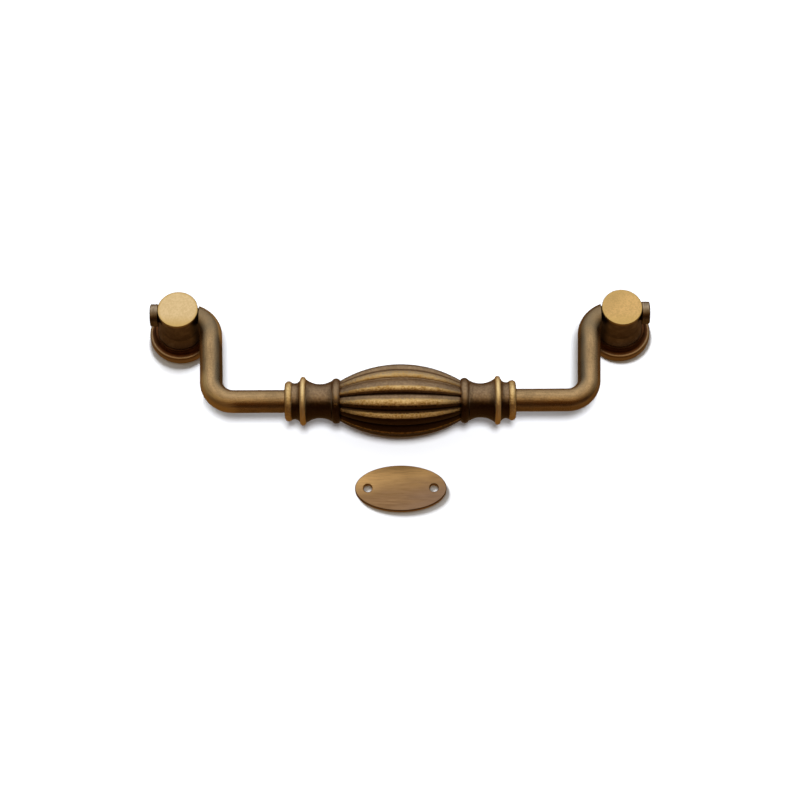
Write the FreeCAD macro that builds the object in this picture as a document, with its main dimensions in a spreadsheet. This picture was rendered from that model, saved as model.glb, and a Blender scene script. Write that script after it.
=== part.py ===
import FreeCAD, Part
import math
import os
import Sketcher

# Bail pull: a swinging bail on two turned posts, with the oval plate that its grip strikes.
# Millimetres. X runs along the pull, Z is up, and the drawer front is the plane Y = 0, facing -Y.
# The origin is on the drawer front, midway between the two screw axes. The bail hangs straight down.

Vector = FreeCAD.Vector
doc = FreeCAD.newDocument("bail_pull")

# Driving dimensions
DIMENSIONS = [
    ("post_spacing", 128.0, "between the two screw axes"),
    ("wall_gap", 1.9, "drawer front to the hanging grip"),
    ("pivot_inset", 3.5, "flat face of the head to the pivot axis"),
    ("head_radius", 5.83, "flat head"),
    ("head_thickness", 1.1, "straight band under the head's face"),
    ("head_edge", 0.15, "break of the head's edge"),
    ("post_radius", 5.6, "straight part of the post"),
    ("flare_height", 2.6, "height of the flare above the foot"),
    ("flare_waist", 5.95, "radius halfway down the flare"),
    ("foot_radius", 6.7, "post's foot"),
    ("foot_thickness", 0.6, "straight edge of the foot"),
    ("spigot_radius", 4.0, "spigot that centres the rosette"),
    ("tapped_radius", 1.65, "tapping drill for the mounting screw"),
    ("drill_web", 1.36, "metal left between the tapped hole's tip and the pivot bore"),
    ("rim_radius", 9.25, "rosette"),
    ("rim_thickness", 2.4, "rosette's edge"),
    ("rim_round", 0.8, "rounding of the rim"),
    ("back_edge", 0.3, "break of the rosette's back edge"),
    ("land_radius", 7.3, "ring that stands round the foot"),
    ("land_height", 4.0, "drawer front to the top of that ring"),
    ("cove_depth", 0.35, "how far the rosette's slope is hollowed"),
    ("recess_depth", 0.4, "recess that the foot sits in"),
    ("foot_clearance", 0.12, "round the foot"),
    ("spigot_clearance", 0.05, "round the spigot"),
    ("journal_radius", 2.1, "turned end of the arm"),
    ("running_clearance", 0.05, "round the journal in its post"),
    ("side_play", 0.15, "post's head to arm, and head to cap"),
    ("cap_radius", 3.25, "end cap"),
    ("cap_length", 2.15, "end cap"),
    ("cap_edge", 0.25, "break of the cap's outer edge"),
    ("cap_socket", 1.4, "depth of the cap's socket"),
    ("seat_clearance", 0.02, "round the journal in its cap, and round the arm in the grip"),
    ("end_gap", 0.2, "left at the bottom of each socket"),
    ("rod_radius", 3.25, "arm"),
    ("leg_gap", 0.8, "post's head to the arm's upright run, halfway down that run"),
    ("leg_lean", 2.4, "degrees that each upright run leans, closer together at the grip"),
    ("bail_drop", 28.19, "pivot axis to the grip's axis"),
    ("upper_bend", 7.3, "centreline radius of the upper bend"),
    ("lower_bend", 6.5, "centreline radius of the lower bend"),
    ("drum_length", 34.1, "reeded drum"),
    ("drum_radius", 10.4, "over the reeds at the middle"),
    ("drum_end_radius", 5.75, "over the reeds at the ends"),
    ("reed_count", 12, "reeds round the drum"),
    ("reed_depth", 1.15, "crest to valley at the middle"),
    ("reed_turn", 2.5, "degrees that the front reed's crest sits above the drum's front"),
    ("reed_stations", 13, "sections along the drum"),
    ("core_radius", 4.2, "body of the casting inside the reeds"),
    ("bead_width", 2.25, "bead beside the drum"),
    ("bead_root", 5.85, "where the bead meets the drum and the neck"),
    ("bead_radius", 6.45, "bead's crest"),
    ("neck_length", 7.45, "hollow neck"),
    ("waist_offset", 3.1, "bead to the neck's waist"),
    ("waist_radius", 4.85, "neck's waist"),
    ("ring_root", 6.25, "where the ring meets the neck and the cove"),
    ("ring_width", 1.6, "narrow ring"),
    ("ring_radius", 6.93, "ring's crest"),
    ("cove_width", 2.35, "cove between the ring and the end bead"),
    ("cove_radius", 5.15, "bottom of the cove"),
    ("end_bead_root", 5.3, "where the cove meets the end bead"),
    ("end_bead_width", 2.0, "end bead"),
    ("end_bead_radius", 5.7, "end bead's crest"),
    ("end_face_radius", 4.85, "flat end of the casting"),
    ("socket_depth", 14.0, "blind socket for the arm"),
    ("plate_length", 26.0, "strike plate"),
    ("plate_height", 14.2, "strike plate"),
    ("plate_thickness", 1.0, "strike plate"),
    ("plate_edge", 0.2, "break of the plate's front edges"),
    ("plate_drop", 50.14, "pivot axis to the plate's centre"),
    ("pin_inset", 3.6, "plate's end to the centre of its pin hole"),
    ("pin_radius", 1.2, "pin hole"),
]

sheet = doc.addObject("Spreadsheet::Sheet", "Sizes")
for row, (alias, value, note) in enumerate(DIMENSIONS, start=1):
    sheet.set(f"A{row}", alias)
    sheet.set(f"B{row}", str(value))
    sheet.set(f"C{row}", note)
    sheet.setAlias(f"B{row}", alias)
doc.recompute()


class Size:
    """A length or an angle that keeps both its number and the expression that ties it to the sheet."""

    def __init__(self, number, text):
        self.number = float(number)
        self.text = text

    def __float__(self):
        return self.number

    def joined(self, sign, other, number):
        text = other.text if isinstance(other, Size) else repr(float(other))
        return Size(number, f"({self.text} {sign} {text})")

    def __add__(self, other):
        return self.joined("+", other, self.number + float(other))

    def __sub__(self, other):
        return self.joined("-", other, self.number - float(other))

    def __mul__(self, other):
        return self.joined("*", other, self.number * float(other))

    def __truediv__(self, other):
        return self.joined("/", other, self.number / float(other))

    def sine(self):
        return Size(math.sin(math.radians(self.number)), f"sin({self.text})")

    def cosine(self):
        return Size(math.cos(math.radians(self.number)), f"cos({self.text})")


def size(alias):
    return Size(getattr(sheet, alias), f"Sizes.{alias}")


# Sketch helpers: every corner is located from the sketch's origin by expressions
ORIGIN_POINT = (-1, 1)
AXES = {"across": -2, "up": -1}
START, END, CENTRE = 1, 2, 3


def base_plane(body, role):
    return next(item for item in body.Origin.OriginFeatures if item.Role == role)


def new_sketch(body, role, name, offset=None):
    sketch = body.newObject("Sketcher::SketchObject", name)
    sketch.AttachmentSupport = [(base_plane(body, role), "")]
    sketch.MapMode = "FlatFace"
    if offset is not None:
        sketch.AttachmentOffset = FreeCAD.Placement(Vector(0, 0, float(offset)), FreeCAD.Rotation())
        sketch.setExpression("AttachmentOffset.Base.z", offset.text)
    return sketch


def constrain(sketch, kind, *terms):
    """Add one constraint. A Size at the end becomes its expression."""
    if not isinstance(terms[-1], Size):
        return sketch.addConstraint(Sketcher.Constraint(kind, *terms))
    index = sketch.addConstraint(Sketcher.Constraint(kind, *terms[:-1], float(terms[-1])))
    sketch.setExpression(f"Constraints[{index}]", terms[-1].text)
    return index


def locate(sketch, piece, point, across, up):
    """Pin one point at (across, up). A plain zero lies on the axis itself."""
    for kind, value in (("DistanceX", across), ("DistanceY", up)):
        if isinstance(value, Size):
            constrain(sketch, kind, *ORIGIN_POINT, piece, point, value)
        else:
            axis = AXES["across"] if kind == "DistanceX" else AXES["up"]
            constrain(sketch, "PointOnObject", piece, point, axis)


def flat(pair):
    return Vector(float(pair[0]), float(pair[1]), 0)


def trace(sketch, corners, closed=True):
    """Draw the outline through the corners, each (across, up) or (across, up, via).

    via is a point that an arc passes on its way to that corner.
    """
    count = len(corners)
    joints = []
    for index in range(count if closed else count - 1):
        begin = corners[index]
        finish = corners[(index + 1) % count]
        if len(finish) == 2:
            piece = sketch.addGeometry(Part.LineSegment(flat(begin), flat(finish)))
            joints.append((piece, START, END))
            continue
        via = finish[2]
        arc = Part.Arc(flat(begin), flat(via), flat(finish))
        piece = sketch.addGeometry(arc)
        drawn = sketch.getPoint(piece, START)
        forward = drawn.distanceToPoint(flat(begin)) < drawn.distanceToPoint(flat(finish))
        joints.append((piece, START, END) if forward else (piece, END, START))
        mark = sketch.addGeometry(Part.Point(flat(via)), True)
        locate(sketch, mark, START, *via)
        constrain(sketch, "PointOnObject", mark, START, piece)
    for index, (piece, start, end) in enumerate(joints):
        locate(sketch, piece, start, *corners[index][:2])
        if index:
            before = joints[index - 1]
            constrain(sketch, "Coincident", before[0], before[2], piece, start)
    last = joints[-1]
    if closed:
        constrain(sketch, "Coincident", last[0], last[2], joints[0][0], joints[0][1])
    else:
        locate(sketch, last[0], last[2], *corners[-1][:2])


def circle(sketch, across, up, radius):
    centre = Vector(float(across), float(up), 0)
    piece = sketch.addGeometry(Part.Circle(centre, Vector(0, 0, 1), float(radius)))
    if isinstance(across, Size) or isinstance(up, Size):
        locate(sketch, piece, CENTRE, across, up)
    else:
        constrain(sketch, "Coincident", piece, CENTRE, *ORIGIN_POINT)
    constrain(sketch, "Radius", piece, radius)


def new_body(label):
    body = doc.addObject("PartDesign::Body", label)
    body.Label = label
    return body


def turn(body, sketch, axis):
    solid = body.newObject("PartDesign::Revolution", "Turned")
    solid.Profile = sketch
    solid.ReferenceAxis = (sketch, [axis])
    solid.Angle = 360
    sketch.Visibility = False
    return solid


def cut_through(body, sketch, name):
    pocket = body.newObject("PartDesign::Pocket", name)
    pocket.Profile = sketch
    pocket.SideType = "Symmetric"
    pocket.Type = "ThroughAll"
    sketch.Visibility = False
    return pocket


def place(item, across, out, up, turned=0):
    """Seat a sub-part in the pull's frame, turned about the upright axis."""
    item.Placement = FreeCAD.Placement(Vector(0, 0, 0), FreeCAD.Rotation(Vector(0, 0, 1), turned))
    for axis, value in (("x", across), ("y", out), ("z", up)):
        if isinstance(value, Size):
            item.setExpression(f"Placement.Base.{axis}", value.text)


ZERO = Size(0, "0")
RIGHT_ANGLE = Size(90, "90")
SIDES = (("left", -1, 180), ("right", 1, 0))

# Places that several sub-parts share
foot_seat = size("land_height") - size("recess_depth")
pivot_bore = size("journal_radius") + size("running_clearance")
pivot_reach = size("drum_radius") + size("wall_gap")
post_reach = pivot_reach + size("pivot_inset")
post_place = size("post_spacing") / 2
arm_face = post_place - size("head_radius") - size("side_play")
cap_face = post_place + size("head_radius") + size("side_play")
leg_place = post_place - size("head_radius") - size("leg_gap") - size("rod_radius")
drum_end = size("drum_length") / 2
bead_end = drum_end + size("bead_width")
ring_start = bead_end + size("neck_length")
ring_end = ring_start + size("ring_width")
end_bead_start = ring_end + size("cove_width")
grip_end = end_bead_start + size("end_bead_width")
socket_floor = grip_end - size("socket_depth")
grip_height = ZERO - size("bail_drop")
pivot_out = ZERO - pivot_reach


def make_post(side, sign):
    """Turned post: spigot, foot, flare, straight neck, flat head, cross bore and tapped hole."""
    body = new_body(f"{side}_post")
    flare_end = foot_seat + size("foot_thickness") + size("flare_height")
    flare_via = (size("flare_waist"), foot_seat + size("foot_thickness") + size("flare_height") / 2)
    head_start = post_reach - size("head_thickness")
    head_top = post_reach - size("head_edge")
    head_flat = size("head_radius") - size("head_edge")
    drill_tip = pivot_reach - pivot_bore - size("drill_web")
    drill_shoulder = drill_tip - size("tapped_radius") * math.tan(math.radians(31))
    sketch = new_sketch(body, "XY_Plane", "PostOutline")
    trace(sketch, [
        (size("tapped_radius"), 0),
        (size("spigot_radius"), 0),
        (size("spigot_radius"), foot_seat),
        (size("foot_radius"), foot_seat),
        (size("foot_radius"), foot_seat + size("foot_thickness")),
        (size("post_radius"), flare_end, flare_via),
        (size("post_radius"), head_start),
        (size("head_radius"), head_start),
        (size("head_radius"), head_top),
        (head_flat, post_reach),
        (0, post_reach),
        (0, drill_tip),
        (size("tapped_radius"), drill_shoulder),
    ])
    turn(body, sketch, "V_Axis")
    bore = new_sketch(body, "YZ_Plane", "PivotBore")
    circle(bore, pivot_reach, 0, pivot_bore)
    cut_through(body, bore, "PivotBoreCut")
    place(body, post_place * sign, 0, 0, 180)
    return body


def make_rosette(side, sign):
    """Turned washer: rounded rim, hollowed slope, and a recess for the post's foot."""
    body = new_body(f"{side}_rosette")
    hole = size("spigot_radius") + size("spigot_clearance")
    recess = size("foot_radius") + size("foot_clearance")
    rim_flat = size("rim_radius") - size("rim_round")
    rim_start = size("rim_thickness") - size("rim_round")
    round_reach = math.sqrt(0.5)
    rim_via = (rim_flat + size("rim_round") * round_reach, rim_start + size("rim_round") * round_reach)
    slope_via = (
        (rim_flat + size("land_radius")) / 2 - size("cove_depth") / 2,
        (size("rim_thickness") + size("land_height")) / 2 - size("cove_depth"),
    )
    sketch = new_sketch(body, "XY_Plane", "RosetteOutline")
    trace(sketch, [
        (hole, 0),
        (size("rim_radius") - size("back_edge"), 0),
        (size("rim_radius"), size("back_edge")),
        (size("rim_radius"), rim_start),
        (rim_flat, size("rim_thickness"), rim_via),
        (size("land_radius"), size("land_height"), slope_via),
        (recess, size("land_height")),
        (recess, foot_seat),
        (hole, foot_seat),
    ])
    turn(body, sketch, "V_Axis")
    place(body, post_place * sign, 0, 0, 180)
    return body


def make_arm(side, turned):
    """Round rod with two bends, faced off beside its post, with a thinner journal through it."""
    body = new_body(f"{side}_arm")
    rod_start = socket_floor + size("end_gap")
    lower = size("lower_bend")
    upper = size("upper_bend")
    drop = size("bail_drop")
    lean = size("leg_lean")
    half_turn = (RIGHT_ANGLE - lean) / 2
    across, around = half_turn.sine(), half_turn.cosine()
    leg_foot = lower - lower * lean.sine()
    leg_top = drop - upper + upper * lean.sine()
    leg_slant = (leg_top - leg_foot) * lean.sine() / lean.cosine() / 2
    foot_place = leg_place - leg_slant
    top_place = leg_place + leg_slant
    lower_start = foot_place - lower * lean.cosine()
    upper_end = top_place + upper * lean.cosine()
    lower_via = (lower_start + lower * across, lower - lower * around)
    upper_via = (upper_end - upper * across, drop - upper + upper * around)
    path = new_sketch(body, "XZ_Plane", "RodPath")
    trace(path, [
        (rod_start, 0),
        (lower_start, 0),
        (foot_place, leg_foot, lower_via),
        (top_place, leg_top),
        (upper_end, drop, upper_via),
    ], closed=False)
    section = new_sketch(body, "YZ_Plane", "RodSection", rod_start)
    circle(section, 0, 0, size("rod_radius"))
    rod = body.newObject("PartDesign::AdditivePipe", "Rod")
    rod.Profile = section
    rod.Spine = path
    facing = new_sketch(body, "XZ_Plane", "FacingOutline")
    beyond = upper_end + upper
    trace(facing, [
        (arm_face, drop - size("rod_radius") * 3),
        (beyond, drop - size("rod_radius") * 3),
        (beyond, drop + size("rod_radius") * 3),
        (arm_face, drop + size("rod_radius") * 3),
    ])
    cut_through(body, facing, "Facing")
    journal = new_sketch(body, "YZ_Plane", "JournalSection", arm_face)
    circle(journal, 0, drop, size("journal_radius"))
    pin = body.newObject("PartDesign::Pad", "Journal")
    pin.Profile = journal
    length = cap_face - arm_face + size("cap_socket") - size("end_gap")
    pin.Length = float(length)
    pin.setExpression("Length", length.text)
    for sketch in (path, section, journal):
        sketch.Visibility = False
    place(body, 0, pivot_out, grip_height, turned)
    return body


def make_cap(side, turned):
    """Round end cap, socketed on the journal's end."""
    body = new_body(f"{side}_cap")
    end = cap_face + size("cap_length")
    floor = cap_face + size("cap_socket")
    socket = size("journal_radius") + size("seat_clearance")
    sketch = new_sketch(body, "XY_Plane", "CapOutline")
    trace(sketch, [
        (cap_face, socket),
        (cap_face, size("cap_radius")),
        (end - size("cap_edge"), size("cap_radius")),
        (end, size("cap_radius") - size("cap_edge")),
        (end, 0),
        (floor, 0),
        (floor, socket),
    ])
    turn(body, sketch, "H_Axis")
    place(body, 0, pivot_out, 0, turned)
    return body


def make_turned_grip():
    """Half of the grip's turned outline, with its socket, turned and mirrored about the middle."""
    body = new_body("grip_turning")
    socket = size("rod_radius") + size("seat_clearance")
    sketch = new_sketch(body, "XY_Plane", "GripOutline")
    trace(sketch, [
        (0, 0),
        (0, size("core_radius")),
        (drum_end, size("core_radius")),
        (drum_end, size("bead_root")),
        (bead_end, size("bead_root"), (drum_end + size("bead_width") / 2, size("bead_radius"))),
        (ring_start, size("ring_root"), (bead_end + size("waist_offset"), size("waist_radius"))),
        (ring_end, size("ring_root"), (ring_start + size("ring_width") / 2, size("ring_radius"))),
        (end_bead_start, size("end_bead_root"), (ring_end + size("cove_width") / 2, size("cove_radius"))),
        (grip_end, size("end_face_radius"),
         (end_bead_start + size("end_bead_width") / 2, size("end_bead_radius"))),
        (grip_end, socket),
        (socket_floor, socket),
        (socket_floor, 0),
    ])
    half = turn(body, sketch, "H_Axis")
    mirror = body.newObject("PartDesign::Mirrored", "BothEnds")
    mirror.Originals = [half]
    mirror.MirrorPlane = (base_plane(body, "YZ_Plane"), [""])
    body.Tip = mirror
    return body


def reeded_section(along, crest):
    """Closed ring of round reeds at one place along the drum. The crests touch the given radius."""
    count = int(sheet.reed_count)
    valley = crest * (1 - sheet.reed_depth / sheet.drum_radius)
    half = math.pi / count
    turned = math.radians(sheet.reed_turn)

    def around(radius, angle):
        return Vector(along, -radius * math.cos(angle), radius * math.sin(angle))

    arcs = []
    for index in range(count):
        middle = turned + 2 * half * index
        start = around(valley, middle - half)
        end = around(valley, middle + half)
        arcs.append(Part.Arc(start, around(crest, middle), end).toShape())
    return Part.Wire(arcs)


def make_reeded_drum():
    """Barrel of round reeds. Its sections stand along a crown that is one arc from end to end."""
    stations = int(sheet.reed_stations)
    end = float(drum_end)
    fall = sheet.drum_radius - sheet.drum_end_radius
    crown = (end ** 2 + fall ** 2) / (2 * fall)
    sections = []
    for index in range(stations):
        along = end * (2 * index / (stations - 1) - 1)
        crest = sheet.drum_radius - crown + math.sqrt(crown ** 2 - along ** 2)
        sections.append(reeded_section(along, crest))
    drum = doc.addObject("Part::Feature", "ReededDrum")
    drum.Shape = Part.makeLoft(sections, True, True)
    return drum


def make_grip():
    """One casting: the turned collars and the reeded drum."""
    grip = doc.addObject("Part::MultiFuse", "drum_grip")
    grip.Label = "drum_grip"
    grip.Shapes = [make_turned_grip(), make_reeded_drum()]
    place(grip, 0, pivot_out, grip_height)
    return grip


def make_plate():
    """Flat oval plate with two pin holes. Its front edges are broken."""
    body = new_body("strike_plate")
    sketch = new_sketch(body, "XZ_Plane", "PlateOutline")
    half_long = size("plate_length") / 2
    half_high = size("plate_height") / 2
    oval = sketch.addGeometry(Part.Ellipse(Vector(0, 0, 0), float(half_long), float(half_high)))
    sketch.exposeInternalGeometry(oval)
    long_axis = oval + 1
    high_axis = oval + 2
    constrain(sketch, "Coincident", oval, CENTRE, *ORIGIN_POINT)
    constrain(sketch, "Horizontal", long_axis)
    constrain(sketch, "Distance", long_axis, size("plate_length"))
    constrain(sketch, "Distance", high_axis, size("plate_height"))
    pad = body.newObject("PartDesign::Pad", "Plate")
    pad.Profile = sketch
    pad.Length = sheet.plate_thickness
    pad.setExpression("Length", "Sizes.plate_thickness")
    holes = new_sketch(body, "XZ_Plane", "PinHoles")
    for _, sign, _ in SIDES:
        circle(holes, (half_long - size("pin_inset")) * sign, 0, size("pin_radius"))
    cut_through(body, holes, "PinHolesCut")
    for item in (sketch, holes):
        item.Visibility = False
    doc.recompute()
    drilled = body.Tip
    front = -sheet.plate_thickness
    edges = [
        f"Edge{index}" for index, edge in enumerate(drilled.Shape.Edges, start=1)
        if abs(edge.BoundBox.YMin - front) < 1e-6 and abs(edge.BoundBox.YMax - front) < 1e-6
    ]
    broken = body.newObject("PartDesign::Chamfer", "FrontEdges")
    broken.Base = (drilled, edges)
    broken.Size = sheet.plate_edge
    broken.setExpression("Size", "Sizes.plate_edge")
    place(body, 0, 0, ZERO - size("plate_drop"))
    return body


parts = []
for side, sign, turned in SIDES:
    parts.append(make_post(side, sign))
    parts.append(make_rosette(side, sign))
    parts.append(make_arm(side, turned))
    parts.append(make_cap(side, turned))
parts.append(make_grip())
parts.append(make_plate())
doc.recompute()

for item in doc.Objects:
    if "Invalid" in item.State or "Error" in item.State:
        raise RuntimeError(f"{item.Name} did not build: {item.State}")
    if item.TypeId == "PartDesign::Pocket" and item.Shape.Volume >= item.BaseFeature.Shape.Volume:
        raise RuntimeError(f"{item.Name} cuts nothing")
for part in parts:
    if part.Shape.isNull() or not part.Shape.isValid():
        raise RuntimeError(f"{part.Label} has no valid shape")

os.makedirs("parts", exist_ok=True)
for part in parts:
    part.Shape.exportStep(f"parts/{part.Label}.step")
    box = part.Shape.BoundBox
    print(part.Label, len(part.Shape.Solids), round(part.Shape.Volume, 2),
          [round(value, 3) for value in (box.XMin, box.YMin, box.ZMin, box.XMax, box.YMax, box.ZMax)])
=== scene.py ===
# Bail pull in aged brass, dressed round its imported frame.
# Metres in the frame and the shaders, millimetres and degrees in the settings of the pieces.
# X runs along the pull, Z is up, and the drawer front is the plane Y = 0, with the pull at negative Y.
import math

import bpy
import numpy as np
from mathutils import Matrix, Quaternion, Vector


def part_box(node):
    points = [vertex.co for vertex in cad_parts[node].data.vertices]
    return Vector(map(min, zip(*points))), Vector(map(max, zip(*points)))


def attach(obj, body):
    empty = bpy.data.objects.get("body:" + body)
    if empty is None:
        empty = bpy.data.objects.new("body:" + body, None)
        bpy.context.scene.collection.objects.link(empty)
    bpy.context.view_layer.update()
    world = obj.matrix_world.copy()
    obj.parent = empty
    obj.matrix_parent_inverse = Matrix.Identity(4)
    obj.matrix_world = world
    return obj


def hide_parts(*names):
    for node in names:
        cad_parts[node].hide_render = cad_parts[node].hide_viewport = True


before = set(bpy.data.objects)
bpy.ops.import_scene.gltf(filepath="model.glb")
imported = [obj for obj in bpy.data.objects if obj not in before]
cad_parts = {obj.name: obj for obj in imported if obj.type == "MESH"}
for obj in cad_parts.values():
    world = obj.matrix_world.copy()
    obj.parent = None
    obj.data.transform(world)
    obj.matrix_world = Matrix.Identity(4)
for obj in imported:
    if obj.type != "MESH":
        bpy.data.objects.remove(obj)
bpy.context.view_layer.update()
millimetre = 0.001
screwPlace = 0.064  # each mounting screw's distance from the middle
print("frame loaded:", len(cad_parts), "nodes")


# Shader graphs, written as Python expressions

class Wire:
    # wraps one output socket, so that masks and numbers can be written as sums
    def __init__(self, finish, socket):
        self.finish = finish
        self.socket = socket

    def maths(self, operation, first, second=0.0):
        return self.finish.node("Math", {"operation": operation}, {0: first, 1: second})

    def __add__(self, other):
        return self.maths("ADD", self, other)

    def __radd__(self, other):
        return self.maths("ADD", other, self)

    def __sub__(self, other):
        return self.maths("SUBTRACT", self, other)

    def __rsub__(self, other):
        return self.maths("SUBTRACT", other, self)

    def __mul__(self, other):
        return self.maths("MULTIPLY", self, other)

    def __rmul__(self, other):
        return self.maths("MULTIPLY", other, self)

    def __truediv__(self, other):
        return self.maths("DIVIDE", self, other)

    def __pow__(self, other):
        return self.maths("POWER", self, other)

    def __abs__(self):
        return self.maths("ABSOLUTE", self)


class Finish:
    # one material, or the world, with its node graph
    def __init__(self, owner):
        self.owner = owner
        owner.use_nodes = True
        self.tree = owner.node_tree
        self.tree.nodes.clear()

    def node(self, kind, settings=None, inputs=None, output=0):
        # settings first, among them a ramp's stops, then the values or links of the sockets
        made = self.tree.nodes.new("ShaderNode" + kind)
        for name, value in (settings or {}).items():
            if name == "stops":
                self.setStops(made.color_ramp, value)
            else:
                setattr(made, name, value)
        for name, value in (inputs or {}).items():
            if isinstance(value, Wire):
                self.tree.links.new(value.socket, made.inputs[name])
            else:
                made.inputs[name].default_value = value
        return Wire(self, made.outputs[output]) if made.outputs else None

    def setStops(self, ramp, stops):
        while len(ramp.elements) > 1:
            ramp.elements.remove(ramp.elements[-1])
        for index, (place, colour) in enumerate(stops):
            stop = ramp.elements[0] if index == 0 else ramp.elements.new(place)
            stop.position = place
            stop.color = (*colour, 1.0)

    def spread(self, wire, low, high, toLow=0.0, toHigh=1.0):
        # a smooth step from toLow to toHigh as the wire goes from low to high
        return self.node("MapRange", {"interpolation_type": "SMOOTHSTEP"}, {
            "Value": wire, "From Min": low, "From Max": high, "To Min": toLow, "To Max": toHigh})

    def blend(self, mask, first, second):
        # from the first colour to the second, each of them a wire or three numbers
        first, second = ((*colour, 1) if isinstance(colour, tuple) else colour for colour in (first, second))
        return self.node("Mix", {"data_type": "RGBA", "blend_type": "MIX"}, {0: mask, 6: first, 7: second}, 2)

    def place(self):
        return self.node("TexCoord", output="Object")

    def parts(self, vector):
        split = self.tree.nodes.new("ShaderNodeSeparateXYZ")
        self.tree.links.new(vector.socket, split.inputs[0])
        return [Wire(self, socket) for socket in split.outputs]

    def noise(self, vector, scale, detail=4.0, rough=0.55):
        return self.node("TexNoise", {"noise_dimensions": "3D"},
                         {"Vector": vector, "Scale": scale, "Detail": detail, "Roughness": rough})

    def streaks(self, vector, scales, detail):
        # noise with its own scale along each axis
        stretched = self.node("Mapping", {"vector_type": "POINT"}, {"Vector": vector, "Scale": scales})
        return self.noise(stretched, 1.0, detail)

    def read(self, name, output="Fac"):
        return self.node("Attribute", {"attribute_name": name}, output=output)

    def bump(self, height, strength, distance):
        return self.node("Bump", None, {"Height": height, "Strength": strength, "Distance": distance})

    def metal(self, colour, rough, normal):
        shader = self.node("BsdfPrincipled", None, {
            "Base Color": colour, "Metallic": 1.0, "Roughness": rough, "Normal": normal})
        self.node("OutputMaterial", None, {"Surface": shader})
        return self.owner


def newFinish(name):
    return Finish(bpy.data.materials.new(name))


def fromScrew(across, up):
    # distances from the nearer screw's axis: sideways, more than 0 away from the middle, and in all
    beside = abs(across) - screwPlace
    return beside, (beside * beside + up * up) ** 0.5


# Brass finishes. A pair that ends in From or Depth says where a mask starts and where it is full, and four
# numbers give the two places and then the mask's two values.

rodFinish = {
    "brass": (0.52, 0.34, 0.165), "patina": (0.29, 0.19, 0.095), "wearAndHighlight": (0.82, 0.57, 0.25),
    # shaded is the colour of the painted shade on the inner sides and round the top bends
    "shaded": (0.22, 0.165, 0.10),
    "streaks": ((300.0, 2600.0, 2600.0), 3.0), "cloud": (190.0, 5.0), "grain": (2400.0, 2.0),
    "cloudFrom": (0.38, 0.66), "cloudShare": 0.35, "streaksFrom": (0.4, 0.62), "streaksShare": 0.3,
    "sandFrom": (0.38, 0.62), "sandShare": 0.35,
    "shadeStreaks": 0.4, "shadeRange": (0.7, 0.4, 0.6, 1.0),
    "wornStreaks": 0.8, "wornGrain": 0.3, "wornFrom": (0.3, 0.9),
    "rough": (0.27, 0.36), "wornRough": 0.46, "bump": (0.5, 0.00010),
}


def rodBrass():
    # satin rod, drawn lengthwise: streaks follow the rod, and the outsides of its bends are rubbed. The
    # rubbing on the top bends also carries a painted highlight. Painted shade darkens the inner side of each
    # leg, and the top bend below its crown where it meets the post
    finish, form = newFinish("rod brass"), rodFinish
    place = finish.read("rodPlace", "Vector")
    streaks = finish.streaks(place, *form["streaks"])
    cloud = finish.noise(place, *form["cloud"])
    grain = finish.noise(finish.place(), *form["grain"])
    dull = (finish.spread(cloud, *form["cloudFrom"]) * form["cloudShare"]
            + finish.spread(streaks, *form["streaksFrom"]) * form["streaksShare"]
            + finish.spread(grain, *form["sandFrom"]) * form["sandShare"])
    colour = finish.blend(dull, form["brass"], form["patina"])
    mottle = finish.spread(cloud + (streaks - 0.5) * form["shadeStreaks"], *form["shadeRange"])
    # painted shade, mottled by the clouds and streaks
    colour = finish.blend(finish.read("paintedShade") * mottle, colour, form["shaded"])
    # rubbing, and on the top bends a painted highlight as well
    wearAndHighlight = finish.read("wearAndHighlight") + (streaks - 0.5) * form["wornStreaks"] + (grain - 0.5) * form["wornGrain"]
    wearAndHighlight = finish.spread(wearAndHighlight, *form["wornFrom"])
    colour = finish.blend(wearAndHighlight, colour, form["wearAndHighlight"])
    rough = finish.spread(dull, 0.0, 1.0, *form["rough"]) * (1 - wearAndHighlight) + wearAndHighlight * form["wornRough"]
    return finish.metal(colour, rough, finish.bump(streaks * 0.5 + grain * 0.5, *form["bump"]))


capFinish = {
    "barrel": (0.46, 0.35, 0.235), "dull": (0.28, 0.21, 0.135), "under": (0.13, 0.085, 0.045),
    "cloud": ((1500.0, 500.0, 500.0), 4.0), "cloudFrom": (0.4, 0.65), "grain": (2400.0, 3.0),
    "underFrom": (0.0008, -0.0012), "underShare": 0.6, "rough": 0.34, "bump": (0.25, 0.00005),
}


def capBrass():
    # turned cap, with painted shade on its underside
    finish, form = newFinish("cap brass"), capFinish
    place = finish.place()
    up = finish.parts(place)[2]
    cloud = finish.streaks(place, *form["cloud"])
    grain = finish.noise(place, *form["grain"])
    colour = finish.blend(finish.spread(cloud, *form["cloudFrom"]), form["barrel"], form["dull"])
    # painted shade on the underside
    under = finish.spread(up, *form["underFrom"]) * form["underShare"]
    colour = finish.blend(under, colour, form["under"])
    return finish.metal(colour, form["rough"], finish.bump(grain, *form["bump"]))


castFinish = {
    "crest": (1.0, 0.74, 0.36), "tarnish": (0.50, 0.28, 0.075), "flank": (0.38, 0.255, 0.145),
    # the colour of the painted shade underneath, and of the dark patina with painted shade in the grooves
    "dull": (0.25, 0.165, 0.095), "undersideShade": (0.085, 0.048, 0.022), "valley": (0.02, 0.008, 0.003),
    "grain": (1700.0, 3.0, 0.6), "cloud": (260.0, 4.0), "sandFrom": (0.38, 0.62), "cloudFrom": (0.35, 0.65),
    "bareNoise": 0.3, "bareFrom": (0.2, 0.85), "skinSand": 0.7, "skinCloud": 0.4,
    "undersideShadeNoise": 0.5, "undersideShadeFrom": (0.1, 0.9), "valleyNoise": 0.1, "valleyFrom": (0.42, 0.06),
    "speckle": 0.9, "speckleSand": 0.6, "speckleCloud": 0.4, "unpolishedFrom": (1.3, 1.05),
    "rough": (0.32, 0.44), "bump": (0.75, 0.00020),
}


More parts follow.
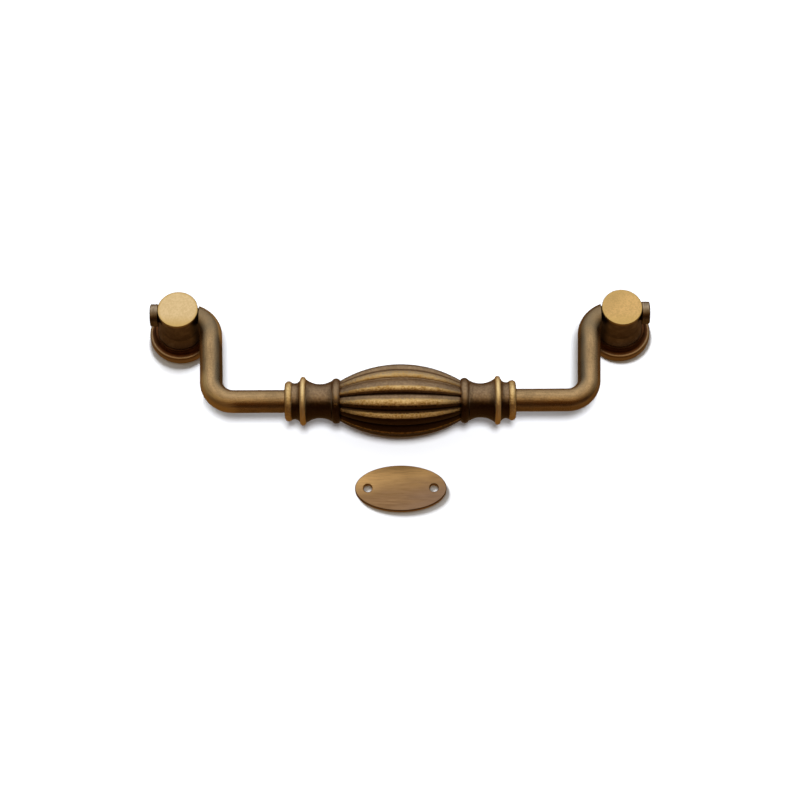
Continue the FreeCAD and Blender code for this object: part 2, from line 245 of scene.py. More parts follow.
def castBrass():
    # cast grip: a dark skin rubbed through to bright brass, partly wear and partly painted highlight, with
    # sandy grain at the edges of the rubbing, painted shade on the underside, and dark patina with painted
    # shade in the grooves
    finish, form = newFinish("cast brass"), castFinish
    place = finish.place()
    wearAndHighlight, height, undersideShade = finish.read("wearAndHighlight"), finish.read("height"), finish.read("undersideShade")
    grain = finish.noise(place, *form["grain"])
    cloud = finish.noise(place, *form["cloud"])
    sand = finish.spread(grain, *form["sandFrom"])
    patches = finish.spread(cloud, *form["cloudFrom"])
    skin = sand * form["skinSand"] + patches * form["skinCloud"]
    colour = finish.blend(skin, form["flank"], form["dull"])
    # painted shade on the underside
    undersideShaded = finish.spread(undersideShade + (cloud - 0.5) * form["undersideShadeNoise"], *form["undersideShadeFrom"])
    colour = finish.blend(undersideShaded, colour, form["undersideShade"])
    speckle = (sand * form["speckleSand"] + patches * form["speckleCloud"]) * form["speckle"]
    speckle = speckle * finish.spread(wearAndHighlight, *form["unpolishedFrom"])   # the rings are polished clean
    gold = finish.blend(speckle, form["crest"], form["tarnish"])
    brightBrass = wearAndHighlight + (sand - 0.5) * form["bareNoise"] + (cloud - 0.5) * form["bareNoise"]
    brightBrass = finish.spread(brightBrass, *form["bareFrom"])
    colour = finish.blend(brightBrass, colour, gold)
    # dark patina in the grooves, deepened with painted shade
    deep = finish.spread(height + (cloud - 0.5) * form["valleyNoise"], *form["valleyFrom"])
    colour = finish.blend(deep, colour, form["valley"])
    rough = finish.spread(brightBrass, 0.0, 1.0, *form["rough"])
    return finish.metal(colour, rough, finish.bump(grain, *form["bump"]))


postFinish = {
    # the heads' two colours are painted light, the left head lighter than the right
    "headLeft": (0.84, 0.625, 0.335), "headRight": (0.78, 0.50, 0.195), "speck": (0.50, 0.33, 0.12),
    "rim": (0.66, 0.44, 0.15), "body": (0.23, 0.155, 0.095), "rubbed": (0.34, 0.25, 0.165),
    # the near-black colour of the painted shade beside the arm
    "armGapShade": (0.025, 0.014, 0.008),
    "grain": (2000.0, 2.0, 0.6), "cloud": (420.0, 4.0), "faceDepth": (0.0009, 0.0003),
    "speckNoise": 0.4, "speckFrom": (0.36, 0.64), "speckShares": (0.25, 0.5),
    "cornerFrom": (-0.001, 0.007), "cornerShare": 0.5, "lowFrom": (-0.0012, -0.0056), "lowShare": 0.8,
    "rimFrom": (0.0050, 0.0056), "rimShare": 0.7, "rubbedFrom": (0.4, 0.7),
    "armGapShadeFrom": (-0.0030, -0.0050), "armGapShadeShare": 0.9, "rough": (0.42, 0.38), "bump": (0.35, 0.00007),
}


def postBrass():
    # the face of the head is rubbed bright and speckled, with painted light making the left head lighter than
    # the right, and everything behind it keeps its dark skin, with painted shade on the side that the arm
    # covers
    finish, form = newFinish("post brass"), postFinish
    place = finish.place()
    across, out, up = finish.parts(place)
    beside, radius = fromScrew(across, up)
    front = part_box("left_post")[0][1]
    grain = finish.noise(place, *form["grain"])
    cloud = finish.noise(place, *form["cloud"])
    rightHead = finish.spread(across, -screwPlace, screwPlace)
    # painted light: the left head lighter than the right
    head = finish.blend(rightHead, form["headLeft"], form["headRight"])
    specks = finish.spread(grain + (cloud - 0.5) * form["speckNoise"], *form["speckFrom"])
    specks = specks * finish.spread(across, -screwPlace, screwPlace, *form["speckShares"])
    head = finish.blend(specks, head, form["speck"])
    # darker towards the upper inner corner of the right head
    corner = finish.spread(up - beside, *form["cornerFrom"]) * rightHead
    head = finish.blend(corner * form["cornerShare"], head, form["speck"])
    head = finish.blend(finish.spread(up, *form["lowFrom"]) * form["lowShare"], head, form["rim"])
    head = finish.blend(finish.spread(radius, *form["rimFrom"]) * form["rimShare"], head, form["rim"])
    body = finish.blend(finish.spread(cloud, *form["rubbedFrom"]), form["body"], form["rubbed"])
    # painted shade on the side that the arm covers
    armGapShade = finish.spread(beside, *form["armGapShadeFrom"]) * form["armGapShadeShare"]   # the side that the arm covers
    body = finish.blend(armGapShade, body, form["armGapShade"])
    face = finish.spread(out, *(front + depth for depth in form["faceDepth"]))
    rough = finish.spread(face, 0.0, 1.0, *form["rough"])
    return finish.metal(finish.blend(face, body, head), rough, finish.bump(grain + cloud, *form["bump"]))


rosetteFinish = {
    "slope": (0.14, 0.052, 0.018), "cloudy": (0.09, 0.035, 0.013), "rim": (0.50, 0.33, 0.17),
    "grain": (2200.0, 4.0, 0.7), "cloud": (380.0, 4.0), "cloudFrom": (0.35, 0.65),
    "rimFrom": (0.0083, 0.0089), "rimNoise": 0.0004, "rough": (0.36, 0.32), "bump": (0.3, 0.00006),
}


def rosetteBrass():
    # reddish brown flange with a rubbed bronze rim
    finish, form = newFinish("rosette brass"), rosetteFinish
    place = finish.place()
    across, _, up = finish.parts(place)
    beside, radius = fromScrew(across, up)
    grain = finish.noise(place, *form["grain"])
    cloud = finish.spread(finish.noise(place, *form["cloud"]), *form["cloudFrom"])
    rim = finish.spread(radius + (grain - 0.5) * form["rimNoise"], *form["rimFrom"])
    colour = finish.blend(rim, finish.blend(cloud, form["slope"], form["cloudy"]), form["rim"])
    rough = finish.spread(rim, 0.0, 1.0, *form["rough"])
    return finish.metal(colour, rough, finish.bump(grain, *form["bump"]))


plateFinish = {
    "sheet": (0.375, 0.22, 0.107), "streak": (0.24, 0.135, 0.06), "golden": (0.73, 0.44, 0.175),
    # edge and edgeDull are painted light, lighter than the face, on the edges and back
    "dusk": (0.30, 0.19, 0.125), "edge": (0.72, 0.50, 0.30), "edgeDull": (0.50, 0.34, 0.19),
    "streaks": ((240.0, 3400.0, 3400.0), 3.0), "cloud": ((90.0, 420.0, 420.0), 3.0),
    "streaksFrom": (0.1, 0.95), "cloudFrom": (0.35, 0.65), "faceDepth": (0.0004, 0.0001),
    "duskAcross": 45.0, "duskUp": 90.0, "duskNoise": 0.8, "duskFrom": (0.1, 0.9), "duskShare": 0.7,
    "goldAcross": 20.0, "goldUp": 115.0, "goldCloud": 0.7, "goldStreaks": 0.6, "goldFrom": (-0.25, 0.6),
    "brushedFrom": (0.4, 0.65), "brushedShare": 0.3,
    "rough": (0.3, 0.7, 0.32, 0.42), "bump": (0.2, 0.00004),
}


def plateBrass():
    # sheet brushed lengthwise: fine streaks over faint clouds, golden at the top and dusky at the lower right
    finish, form = newFinish("plate brass"), plateFinish
    place = finish.place()
    across, out, up = finish.parts(place)
    low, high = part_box("strike_plate")
    height = up - (low[2] + high[2]) / 2
    streaks = finish.streaks(place, *form["streaks"])
    cloud = finish.streaks(place, *form["cloud"])
    colour = finish.blend(finish.spread(streaks, *form["streaksFrom"]), form["sheet"], form["streak"])
    dusk = across * form["duskAcross"] - height * form["duskUp"] + (cloud - 0.5) * form["duskNoise"]
    colour = finish.blend(finish.spread(dusk, *form["duskFrom"]) * form["duskShare"], colour, form["dusk"])
    gold = (height * form["goldUp"] - across * form["goldAcross"]
            + (cloud - 0.5) * form["goldCloud"] + (streaks - 0.5) * form["goldStreaks"])
    brushed = finish.spread(streaks, *form["brushedFrom"]) * form["brushedShare"]
    colour = finish.blend(finish.spread(gold, *form["goldFrom"]) * (1 - brushed), colour, form["golden"])
    # painted light: the edges and back are coloured lighter than the face
    back = finish.blend(finish.spread(cloud, *form["cloudFrom"]), form["edge"], form["edgeDull"])
    face = finish.spread(out, *(low[1] + depth for depth in form["faceDepth"]))
    rough = finish.spread(streaks, *form["rough"])
    return finish.metal(finish.blend(face, back, colour), rough, finish.bump(streaks, *form["bump"]))


# Surfaces

def closedGrid(name, rings, poles, marks):
    # rings is (rows, columns, 3): one ring of points for each row. Each pole is a point that closes one end.
    rows, columns = rings.shape[:2]
    points = np.vstack([rings.reshape(-1, 3), np.asarray(poles, float)])
    row, column = np.meshgrid(np.arange(rows - 1), np.arange(columns), indexing="ij")
    beside = (column + 1) % columns
    quads = np.stack([row * columns + column, row * columns + beside,
                      (row + 1) * columns + beside, (row + 1) * columns + column], -1).reshape(-1, 4)
    turn = np.arange(columns)
    after = (turn + 1) % columns
    last = (rows - 1) * columns
    startFan = np.stack([np.full(columns, rows * columns), after, turn], -1)
    endFan = np.stack([np.full(columns, rows * columns + 1), last + turn, last + after], -1)
    fans = np.vstack([startFan, endFan])
    halves = np.vstack([quads[:, :3], quads[:, [0, 2, 3]], fans])
    if np.linalg.det(points[halves] - points.mean(0)).sum() < 0:  # they enclose a negative volume: turn them
        quads, fans = quads[:, ::-1], fans[:, ::-1]
    corners = np.concatenate([quads.ravel(), fans.ravel()])
    sizes = np.concatenate([np.full(len(quads), 4), np.full(len(fans), 3)])
    mesh = bpy.data.meshes.new(name)
    mesh.vertices.add(len(points))
    mesh.vertices.foreach_set("co", points.ravel())
    mesh.loops.add(len(corners))
    mesh.loops.foreach_set("vertex_index", corners.astype(np.int32))
    mesh.polygons.add(len(sizes))
    mesh.polygons.foreach_set("loop_start", (np.cumsum(sizes) - sizes).astype(np.int32))
    mesh.update(calc_edges=True)
    for mark, values in marks.items():
        # one value or vector for each point: a pole takes the first or the last point's
        flat = values.reshape(rows * columns, -1)
        whole = np.vstack([flat, flat[:1], flat[-1:]]).astype(np.float32)
        kind, field = ("FLOAT_VECTOR", "vector") if flat.shape[1] == 3 else ("FLOAT", "value")
        mesh.attributes.new(mark, kind, "POINT").data.foreach_set(field, whole.ravel())
    mesh.validate()
    mesh.shade_smooth()
    piece = bpy.data.objects.new(name, mesh)
    bpy.context.scene.collection.objects.link(piece)
    return piece


def step(values, low, high):
    # a smooth step from 0 to 1 as the values go from low to high
    share = np.clip((values - low) / (high - low), 0, 1)
    return share * share * (3 - 2 * share)


def band(values, low, full, fade, clean):
    # rises from low to full and falls from fade to clean
    return step(values, low, full) * (1 - step(values, fade, clean))


def degreesRound(angle):
    # radians upwards from the front, as degrees from -180 to 180
    return np.degrees((angle + math.pi) % math.tau - math.pi)


def lean(rings):
    # the way that the surface faces at each point, in degrees above the front: the tangents' cross product
    around = np.roll(rings, -1, 1) - np.roll(rings, 1, 1)
    along = np.gradient(rings, axis=0)
    facing = np.cross(along, around)
    outward = rings - rings.mean(1, keepdims=True)
    facing = facing * np.sign((facing * outward).sum(-1, keepdims=True))
    return np.degrees(np.arctan2(facing[..., 2], -facing[..., 1]))


def arcThrough(start, via, end, count):
    # points on the circle through start, via and end, both ends included
    (ax, ay), (bx, by), (cx, cy) = start, via, end
    double = 2 * (ax * (by - cy) + bx * (cy - ay) + cx * (ay - by))
    a2, b2, c2 = ax * ax + ay * ay, bx * bx + by * by, cx * cx + cy * cy
    ux = (a2 * (by - cy) + b2 * (cy - ay) + c2 * (ay - by)) / double
    uy = (a2 * (cx - bx) + b2 * (ax - cx) + c2 * (bx - ax)) / double
    begin = math.atan2(ay - uy, ax - ux)
    middle = math.atan2(by - uy, bx - ux)
    stop = math.atan2(cy - uy, cx - ux)
    whole = (stop - begin) % math.tau
    if (middle - begin) % math.tau > whole:
        whole -= math.tau
    angle = begin + whole * np.linspace(0, 1, count)
    radius = math.hypot(ax - ux, ay - uy)
    return np.stack([ux + radius * np.cos(angle), uy + radius * np.sin(angle)], -1)


gripForm = {
    "drumLength": 34.1, "drumRadius": 10.4, "drumEndRadius": 5.75,
    "reeds": 12, "reedDepth": 1.15, "reedTurn": 0.7, "reedSag": 3.5, "drumRows": 120, "columnsPerReed": 26,
    "beadWidth": 2.25, "beadRoot": 5.85, "beadRadius": 6.45,
    "neckLength": 7.45, "waistOffset": 3.1, "waistRadius": 4.85,
    "ringRoot": 6.25, "ringWidth": 1.6, "ringRadius": 6.93,
    "coveWidth": 2.35, "coveRadius": 5.15,
    "endBeadRoot": 5.3, "endBeadWidth": 2.0, "endBeadRadius": 5.7, "endFaceRadius": 4.85,
    "startBore": 3.0, "endBore": 3.27, "arcPoints": 22, "collarColumns": 144,
}

gripWear = {
    # by the way that the surface faces, in degrees above the front: wear, with a painted highlight where the
    # surface faces the lower front
    "front": (-49, -38, -15, 9), "lowFront": (-46, -37, -28, -17), "behind": (140, 165), "behindShare": 0.7,
    # by the place round the grip, in degrees above the front, the last of them for the grooves that face up
    # and are left light
    "higher": (12, 25), "top": (40, 52), "summit": 100, "open": (-2, 14, 75, 110),
    # by the place round the grip, in degrees below the front, the last of them for the painted shade
    # underneath
    "lower": (38, 50), "below": (64, 74), "back": 120, "undersideShade": (5, 50, 110, 160),
    # by the height between valley and crest, and by the angle from the crest in radians
    "height": (0.12, 0.45), "edgeReach": (0.72, 0.97), "crestReach": (0.78, 0.96),
    "edgeSide": (-0.012, 0.012), "crestSide": (0.0, 0.06),
    # how strong each is
    "higherTurn": 14, "higherShare": 0.5, "topShare": 0.4, "endFrom": 0.5, "endShare": 0.45,
    "edge": 0.5, "crestLine": 0.6, "openGroove": 0.95,
}


def rubbed(angle, part="front"):
    # where hands rub the grip, and a painted highlight where the surface faces the lower front; the back is
    # rubbed where the fingers hook round it
    behind = gripWear["behindShare"] * step(np.abs(angle), *gripWear["behind"])
    return np.maximum(band(angle, *gripWear[part]), behind)


def undersideShadeMask(place):
    # painted shade on the underside, between the places that hands rub
    return band(-place, *gripWear["undersideShade"])


def gripCentre():
    low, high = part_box("drum_grip")
    return (low + high) / 2


def reededDrum():
    # barrel: radius(along, around) = the reed's arc at that angle, scaled to the crown's crest at that place
    form, wear = gripForm, gripWear
    half = form["drumLength"] / 2
    fall = form["drumRadius"] - form["drumEndRadius"]
    crown = (half ** 2 + fall ** 2) / (2 * fall)
    along = half * np.sin(np.linspace(-math.pi / 2, math.pi / 2, form["drumRows"]))
    crest = form["drumRadius"] - crown + np.sqrt(crown ** 2 - along ** 2)
    pitch = math.tau / form["reeds"]
    columns = form["reeds"] * form["columnsPerReed"]
    around = np.arange(columns) * math.tau / columns
    within = (around + pitch / 2) % pitch - pitch / 2
    within = within + math.radians(form["reedSag"]) * (1 - (within / (pitch / 2)) ** 2)  # crests rubbed lower
    valley = 1 - form["reedDepth"] / form["drumRadius"]
    # the arc's radius and centre, for a crest of 1, so that it passes both valleys
    sink, side = 1 - valley * math.cos(pitch / 2), valley * math.sin(pitch / 2)
    bend = (sink ** 2 + side ** 2) / (2 * sink)
    share = (1 - bend) * np.cos(within) + np.sqrt(bend ** 2 - ((1 - bend) * np.sin(within)) ** 2)
    height = (share - valley) / (1 - valley)
    radius = crest[:, None] * share[None, :]
    turned = around + math.radians(form["reedTurn"])
    x = np.broadcast_to(along[:, None], radius.shape)
    rings = np.stack([x, -radius * np.cos(turned), radius * np.sin(turned)], -1) * millimetre
    centre = np.array(gripCentre())
    poles = np.array([[-half, 0, 0], [half, 0, 0]]) * millimetre + centre

    place = degreesRound(turned)
    facing, lower, below = lean(rings), step(-place, *wear["lower"]), step(-place, *wear["below"])
    higher = step(place, *wear["higher"]) * (place < wear["summit"])
    # rubbing and painted highlight: bright where the surface faces the lower front, shifted on the higher
    # reeds, dimmer on the top reeds and towards the ends
    rubbingAndHighlight = rubbed(facing - wear["higherTurn"] * higher) * (1 - lower) + rubbed(facing, "lowFront") * lower
    rubbingAndHighlight = rubbingAndHighlight * step(height, *wear["height"]) * (1 - below * (place > -wear["back"]))
    rubbingAndHighlight = rubbingAndHighlight * (1 - wear["endShare"] * step(np.abs(along), half * wear["endFrom"], half)[:, None])
    rubbingAndHighlight = rubbingAndHighlight * (1 - wear["higherShare"] * higher - wear["topShare"] * step(place, *wear["top"]) * higher)
    # bright lines along the crests, part of the same wear and painted highlight
    edge = step(-within, *wear["edgeSide"]) * step(height, *wear["edgeReach"]) * np.cos(turned) ** 2
    crestLine = step(height, *wear["crestReach"]) * step(within, *wear["crestSide"]) * below
    wearAndHighlight = np.maximum(np.maximum(rubbingAndHighlight, edge * wear["edge"]), crestLine * wear["crestLine"])
    # painted shade on the underside
    undersideShade = np.broadcast_to(undersideShadeMask(place)[None, :], radius.shape)
    # the grooves hold dark patina and painted shade, which are left out where the grooves face up into the
    # light
    height = np.maximum(height, wear["openGroove"] * band(place, *wear["open"]))
    height = np.broadcast_to(height[None, :], radius.shape)
    return closedGrid("reeded_drum", rings + centre, poles, {"wearAndHighlight": wearAndHighlight, "height": height, "undersideShade": undersideShade})


def collarProfile():
    # the outline of bead, neck, ring, cove and end bead, each an arc through three points, and the places
    # where the ring starts and the collar ends
    form = gripForm
    drumEnd = form["drumLength"] / 2
    beadEnd = drumEnd + form["beadWidth"]
    ringStart = beadEnd + form["neckLength"]
    ringEnd = ringStart + form["ringWidth"]
    coveEnd = ringEnd + form["coveWidth"]
    end = coveEnd + form["endBeadWidth"]
    joints = [(drumEnd, form["beadRoot"]), (beadEnd, form["beadRoot"]), (ringStart, form["ringRoot"]),
              (ringEnd, form["ringRoot"]), (coveEnd, form["endBeadRoot"]), (end, form["endFaceRadius"])]
    middles = [(drumEnd + form["beadWidth"] / 2, form["beadRadius"]),
               (beadEnd + form["waistOffset"], form["waistRadius"]),
               (ringStart + form["ringWidth"] / 2, form["ringRadius"]),
               (ringEnd + form["coveWidth"] / 2, form["coveRadius"]),
               (coveEnd + form["endBeadWidth"] / 2, form["endBeadRadius"])]
    arcs = [arcThrough(*points, form["arcPoints"]) for points in zip(joints, middles, joints[1:])]
    outline = np.vstack([[(drumEnd, form["startBore"])], *arcs, [(end, form["endBore"])]])
    return outline, ringStart, end


collarWear = {
    # millimetres from the ring's root and start, and from the end bead's start, face and crest
    "ringReach": (-0.15, 0.25), "ringPlace": (-0.6, 0.0), "endBeadPlace": (-0.2, 0.3),
    "endBeadReach": (-0.05, -0.35), "beadReach": 0.3,
    "ring": 1.4, "endBead": 1.15, "bead": 0.3, "waistHeight": 0.35,
}


def collar(name, sign):
    # turned collar: the outline, carried round the grip's axis
    outline, ringStart, end = collarProfile()
    form, wear = gripForm, collarWear
    start = form["drumLength"] / 2
    endBeadStart = end - form["endBeadWidth"]
    place, reach = outline[:, 0], outline[:, 1]
    ring = step(reach, *(form["ringRoot"] + shift for shift in wear["ringReach"]))
    ring = ring * step(place, *(ringStart + shift for shift in wear["ringPlace"]))
    endBead = step(place, *(endBeadStart + shift for shift in wear["endBeadPlace"]))
    endBead = endBead * step(reach, form["endFaceRadius"] + wear["endBeadReach"][0],
                             form["endBeadRadius"] + wear["endBeadReach"][1])
    bead = step(reach, form["beadRadius"] - wear["beadReach"], form["beadRadius"])
    bead = bead * (place < start + form["beadWidth"])
    columns = form["collarColumns"]
    around = np.arange(columns) * math.tau / columns
    x = np.broadcast_to(sign * place[:, None], (len(outline), columns))
    rings = np.stack([x, -reach[:, None] * np.cos(around), reach[:, None] * np.sin(around)], -1) * millimetre
    centre = np.array(gripCentre())
    poles = np.array([[sign * start, 0, 0], [sign * end, 0, 0]]) * millimetre + centre
    turned = np.maximum(wear["ring"] * ring, wear["endBead"] * endBead)[:, None]
    wearAndHighlight = turned * np.ones(columns) + bead[:, None] * wear["bead"] * rubbed(lean(rings))
    above = step(reach, form["waistRadius"], form["ringRoot"])
    height = wear["waistHeight"] + (1 - wear["waistHeight"]) * above
    height = np.broadcast_to(height[:, None], x.shape)
    # painted shade on the underside
    undersideShade = np.broadcast_to(undersideShadeMask(degreesRound(around))[None, :], x.shape)
    return closedGrid(name, rings + centre, poles, {"wearAndHighlight": wearAndHighlight, "height": height, "undersideShade": undersideShade})


armForm = {
    "rodStart": 18.9, "rodRadius": 3.25, "lowerBend": 6.5, "lean": 2.4, "legPlace": 54.12, "upperBend": 7.3,
    "drop": 28.19, "face": 58.02, "journalRadius": 2.1, "journalEnd": 71.18,
    "rows": (48, 30, 16, 34), "columns": 72,
}

armWear = {
    # sides run from -1 to 1, and places are millimetres along the rod from the ends of its runs and bends
    "bendSide": (-0.1, 0.9), "bendPlace": (-6, 3, -1, 7), "bends": {"left": 0.95, "right": 0.5},
    # the top bends' rubbing is also a painted highlight, stronger on the left arm
    "topSide": (0.45, 0.95), "topPlace": (7, 1), "tops": {"left": 1.1, "right": 0.45},
    # where the painted shade falls: the inner side of the lower bend and leg, and the top bend below its
    # crown
    "shadeSide": (0.0, 0.6), "shadePlace": (1, 0, -4, 4),
    "topBendShadeSide": (0.5, 0.9), "topBendShadePlace": (-5, 3), "topBendShadeShare": 0.8, "journalPlace": 10,
}


def bentArm(side):
    # rod: a circle carried along a straight run, a bend up, a leaning leg and a bend out, and its journal.
    # The upper bend ends in a flat face, so each line along the rod turns until its own sine is there.
    form, wear = armForm, armWear
    tilt = math.radians(form["lean"])
    lower, upper, drop = form["lowerBend"], form["upperBend"], form["drop"]
    legFoot, legTop = lower * (1 - math.sin(tilt)), drop - upper * (1 - math.sin(tilt))
    slant = (legTop - legFoot) * math.tan(tilt) / 2
    lowerStart = form["legPlace"] - slant - lower * math.cos(tilt)
    upperEnd = form["legPlace"] + slant + upper * math.cos(tilt)
    steep = math.pi / 2 - tilt
    phi = np.arange(form["columns"]) * math.tau / form["columns"]
    inner, front = form["rodRadius"] * np.cos(phi), form["rodRadius"] * np.sin(phi)
    run, low, leg, high = (np.linspace(0, 1, count)[:, None] for count in form["rows"])
    none = np.zeros_like(inner)[None, :]

    runX = form["rodStart"] + (lowerStart - form["rodStart"]) * run + none
    runZ = inner[None, :] + 0 * run
    heading = steep * low
    lowX = lowerStart + (lower - inner) * np.sin(heading)
    lowZ = lower - (lower - inner) * np.cos(heading)
    legCentreX = form["legPlace"] - slant + 2 * slant * leg
    legCentreZ = legFoot + (legTop - legFoot) * leg
    legX, legZ = legCentreX - inner * math.sin(steep), legCentreZ + inner * math.cos(steep)
    last = np.arcsin((upperEnd - form["face"]) / (upper + inner))[None, :]
    heading = steep + (last - steep) * high
    highX = upperEnd - (upper + inner) * np.sin(heading)
    highZ = drop - upper + (upper + inner) * np.cos(heading)
    bore = form["journalRadius"] * np.cos(phi)[None, :]
    x = np.vstack([runX, lowX[1:], legX[1:], highX[1:], none + form["face"], none + form["journalEnd"]])
    z = np.vstack([runZ, lowZ[1:], legZ[1:], highZ[1:], bore + drop, bore + drop])
    y = np.vstack([np.repeat(-front[None, :], len(x) - 2, 0),
                   np.repeat(-form["journalRadius"] * np.sin(phi)[None, :], 2, 0)])

    lengths = np.array([lowerStart - form["rodStart"], steep * lower, (legTop - legFoot) / math.cos(tilt),
                        steep * upper])
    runEnd, lowEnd, legEnd, highEnd = ends = np.cumsum(lengths)
    along = np.concatenate([run[:, 0] * lengths[0], ends[0] + low[1:, 0] * lengths[1],
                            ends[1] + leg[1:, 0] * lengths[2], ends[2] + high[1:, 0] * lengths[3],
                            [highEnd, highEnd + wear["journalPlace"]]])[:, None] + none
    around = np.cos(phi)[None, :] + 0 * along   # 1 on the side that the lower bend turns to, -1 opposite
    bendPlace = (edge + shift for edge, shift in zip((runEnd, runEnd, lowEnd, lowEnd), wear["bendPlace"]))
    bendWorn = wear["bends"][side] * step(-around, *wear["bendSide"]) * band(along, *bendPlace)
    # rubbing on the outside of each top bend, with a painted highlight that is stronger on the left arm
    topPlace = (edge + shift for edge, shift in zip((lowEnd, legEnd), wear["topPlace"]))
    topWearAndHighlight = wear["tops"][side] * step(around, *wear["topSide"]) * step(along, *topPlace)
    # painted shade on the inner side of the lower bend and leg, and on the top bend below its crown, where it
    # meets the post
    shadePlace = (edge + shift for edge, shift in zip((runEnd, lowEnd, legEnd, legEnd), wear["shadePlace"]))
    paintedShade = step(around, *wear["shadeSide"]) * band(along, *shadePlace)
    topBendShade = step(along, *(legEnd + shift for shift in wear["topBendShadePlace"]))
    topBendShade = wear["topBendShadeShare"] * topBendShade * (1 - step(around, *wear["topBendShadeSide"]))
    marks = {
        "wearAndHighlight": bendWorn + topWearAndHighlight,
        "paintedShade": np.maximum(paintedShade, topBendShade),
        "rodPlace": np.stack([along, form["rodRadius"] * around, -y], -1) * millimetre,
    }
    sign = -1 if side == "left" else 1
    rings = np.stack([sign * x, y, z], -1) * millimetre + np.array(gripCentre()) * (0, 1, 1)
    poles = [rings[0].mean(0), rings[-1].mean(0)]
    return closedGrid(f"{side}_bent_rod", rings, poles, marks)


def dress(piece, finish):
    piece.data.materials.clear()
    piece.data.materials.append(finish)


def hang(piece, finish, node):
    # a piece of the bail, in the place of a plain node
    dress(piece, finish)
    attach(piece, "bail")
    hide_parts(node)


cast = castBrass()
for piece in (reededDrum(), collar("left_collar", -1), collar("right_collar", 1)):
    hang(piece, cast, "drum_grip")
print("grip made")

rod = rodBrass()
for side in ("left", "right"):
    hang(bentArm(side), rod, f"{side}_arm")
print("arms made")

finishes = {"post": postBrass(), "rosette": rosetteBrass(), "cap": capBrass()}
for side in ("left", "right"):
    for kind, finish in finishes.items():
        dress(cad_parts[f"{side}_{kind}"], finish)
dress(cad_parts["strike_plate"], plateBrass())
print("finishes set")


# Stage, light and camera

wall = {
    # metres: the wall's distance behind the drawer front, its reach, and the places where its pieces meet
    "behind": 0.0002, "half": 0.6, "split": -0.0415, "sides": 0.0572, "below": -0.024,
    # mirrored is the painted reflection: the dim warm colour that the brass sees in place of the wall
    "plain": (0.77, 0.80, 0.85), "mirrored": (0.18, 0.098, 0.034), "whiteFrom": (0.16, 0.24),
}


def wallFinish():
    # plain pale paint, seen from the front only, that turns to pure white far from the pull, and that the
    # brass mirrors as a dim warm glow, a painted reflection
    finish = newFinish("pale wall")
    plain = finish.node("BsdfDiffuse", None, {"Color": (*wall["plain"], 1)})
    white = finish.node("Emission", None, {"Color": (1, 1, 1, 1), "Strength": 1.0})
    # painted reflection: the dim warm colour that the brass mirrors in place of the wall
    dim = finish.node("Emission", None, {"Color": (*wall["mirrored"], 1), "Strength": 1.0})
    clear = finish.node("BsdfTransparent")
    away = finish.node("VectorMath", {"operation": "LENGTH"}, {0: finish.place()}, 1)
    far = finish.spread(away, *wall["whiteFrom"])
    front = finish.node("MixShader", None, {0: far, 1: plain, 2: white})
    glossy = finish.node("LightPath", output="Is Glossy Ray")
    front = finish.node("MixShader", None, {0: glossy, 1: front, 2: dim})   # what the brass mirrors of it
    behind = finish.node("NewGeometry", output="Backfacing")
    both = finish.node("MixShader", None, {0: behind, 1: front, 2: clear})
    finish.node("OutputMaterial", None, {"Surface": both})
    return finish.owner


def wallPiece(name, left, right, low, high, paint):
    out = wall["behind"]
    mesh = bpy.data.meshes.new(name)
    corners = [(left, out, low), (right, out, low), (right, out, high), (left, out, high)]
    mesh.from_pydata(corners, [], [(0, 1, 2, 3)])
    mesh.materials.append(paint)
    piece = bpy.data.objects.new(name, mesh)
    bpy.context.scene.collection.objects.link(piece)
    return piece


light = {
    # the sky's colours by their degrees above the front, and a sun for each part of the wall
    "sky": [(-180, (0.30, 0.30, 0.30)), (-120, (0.05, 0.024, 0.006)), (-90, (0.045, 0.016, 0.001)),
            (-60, (0.06, 0.020, 0.001)), (-38, (0.16, 0.064, 0.004)), (-20, (0.62, 0.485, 0.29)),
            (4, (0.82, 0.76, 0.66)), (26, (1.02, 1.02, 1.02)), (50, (0.90, 0.91, 0.92)),
            (85, (0.66, 0.66, 0.66)), (120, (0.5, 0.5, 0.5)), (180, (0.30, 0.30, 0.30))],
    "sidesFrom": (0.35, 1.0), "sidesDim": 0.75, "brightness": 0.82,
    "suns": {"pull": {"height": -17, "turn": 1.5, "width": 14},
             "left_rosette": {"height": 47, "turn": 8, "width": 22},
             "right_rosette": {"height": 23, "turn": -18, "width": 20},
             "plate": {"height": 45, "turn": -45, "width": 22}},
}


def skyLight():
    world = bpy.data.worlds.new("sky")
    bpy.context.scene.world = world
    finish = Finish(world)
    across, out, up = finish.parts(finish.node("TexCoord", output="Generated"))
    height = finish.node("Math", {"operation": "ARCTAN2"}, {0: up, 1: -1 * out}) / math.tau + 0.5
    stops = [((degrees + 180) / 360, colour) for degrees, colour in light["sky"]]
    gradient = finish.node("ValToRGB", {"stops": stops}, {0: height})
    strength = 1 - finish.spread(abs(across), *light["sidesFrom"]) * light["sidesDim"]
    seen = finish.node("LightPath", output="Is Camera Ray")
    glow = finish.node("Background", None, {"Color": gradient, "Strength": strength})
    white = finish.node("Background", None, {"Color": (1, 1, 1, 1), "Strength": 1.0})
    both = finish.node("MixShader", None, {0: seen, 1: glow, 2: white})
    finish.node("OutputWorld", None, {"Surface": both})


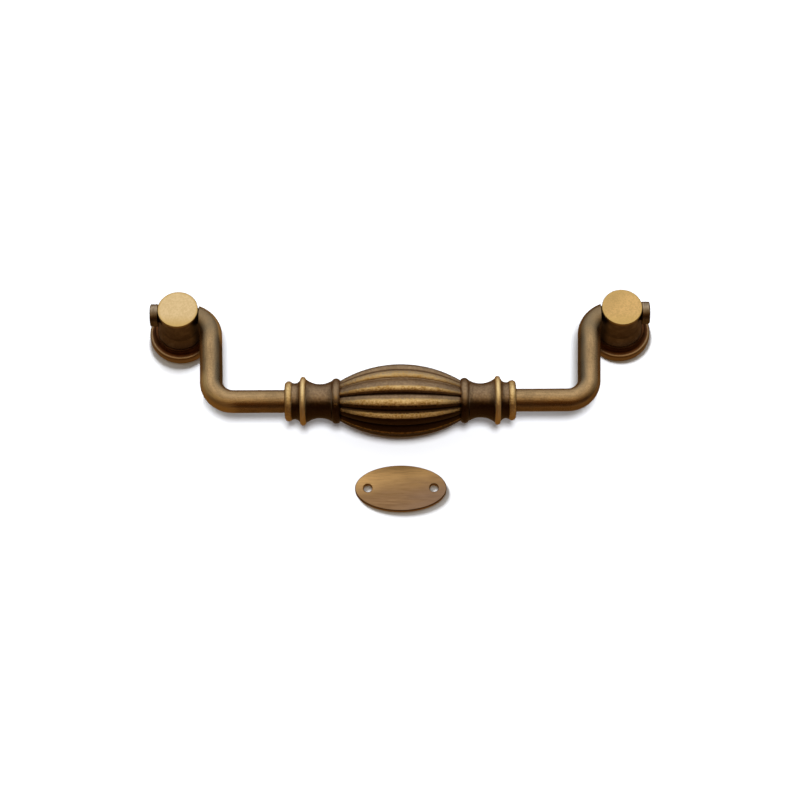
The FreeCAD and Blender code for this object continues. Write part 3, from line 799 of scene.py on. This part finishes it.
def stageSun(name, receivers, blockers):
    # lights one piece of the stage alone, so that the shadows stay soft and close
    form = light["suns"][name]
    height, turn = math.radians(form["height"]), math.radians(form["turn"])
    source = Vector((math.sin(turn) * math.cos(height), -math.cos(turn) * math.cos(height), math.sin(height)))
    data = bpy.data.lights.new(f"{name}_sun", "SUN")
    data.energy = light["brightness"] * math.pi / (wall["plain"][0] * -source.y)
    data.angle = math.radians(form["width"])
    sun = bpy.data.objects.new(f"{name}_sun", data)
    bpy.context.scene.collection.objects.link(sun)
    sun.rotation_euler = source.to_track_quat("Z", "Y").to_euler()
    lit = bpy.data.collections.new(f"lit by the {name} sun")
    for piece in receivers:
        lit.objects.link(piece)
    sun.light_linking.receiver_collection = lit
    casting = bpy.data.collections.new(f"shading the {name} sun")
    for piece in blockers:
        casting.objects.link(piece)
    sun.light_linking.blocker_collection = casting


view = {
    "place": (-0.0001, -0.5866, -0.3240), "aim": (-0.0001, 0, -0.0216),
    "lens": 102.5, "sensor": 36, "roll": -0.3,
}


def photoCamera():
    data = bpy.data.cameras.new("camera")
    data.lens = view["lens"]
    data.sensor_width = view["sensor"]
    camera = bpy.data.objects.new("camera", data)
    bpy.context.scene.collection.objects.link(camera)
    camera.location = view["place"]
    turn = (Vector(view["aim"]) - camera.location).to_track_quat("-Z", "Y")
    camera.rotation_euler = (turn @ Quaternion((0, 0, 1), math.radians(view["roll"]))).to_euler()
    bpy.context.scene.camera = camera


shown = [item for item in bpy.data.objects if item.type == "MESH" and not item.hide_render]
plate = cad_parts["strike_plate"]
paint = wallFinish()
half, split, sides, below = wall["half"], wall["split"], wall["sides"], wall["below"]
middle = [wallPiece("middle_wall", -sides, sides, split, half, paint),
          wallPiece("left_low_wall", -half, -sides, split, below, paint),
          wallPiece("right_low_wall", sides, half, split, below, paint)]
leftWall = wallPiece("left_wall", -half, -sides, below, half, paint)
rightWall = wallPiece("right_wall", sides, half, below, half, paint)
lowerWall = wallPiece("lower_wall", -half, half, -half, split, paint)
stageSun("pull", middle, [item for item in shown if item != plate])
stageSun("left_rosette", [leftWall], [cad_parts["left_rosette"]])
stageSun("right_rosette", [rightWall], [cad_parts["right_rosette"]])
stageSun("plate", [lowerWall], [plate])
skyLight()
photoCamera()
bpy.context.scene.view_settings.view_transform = "Standard"
print("stage, light and camera set")
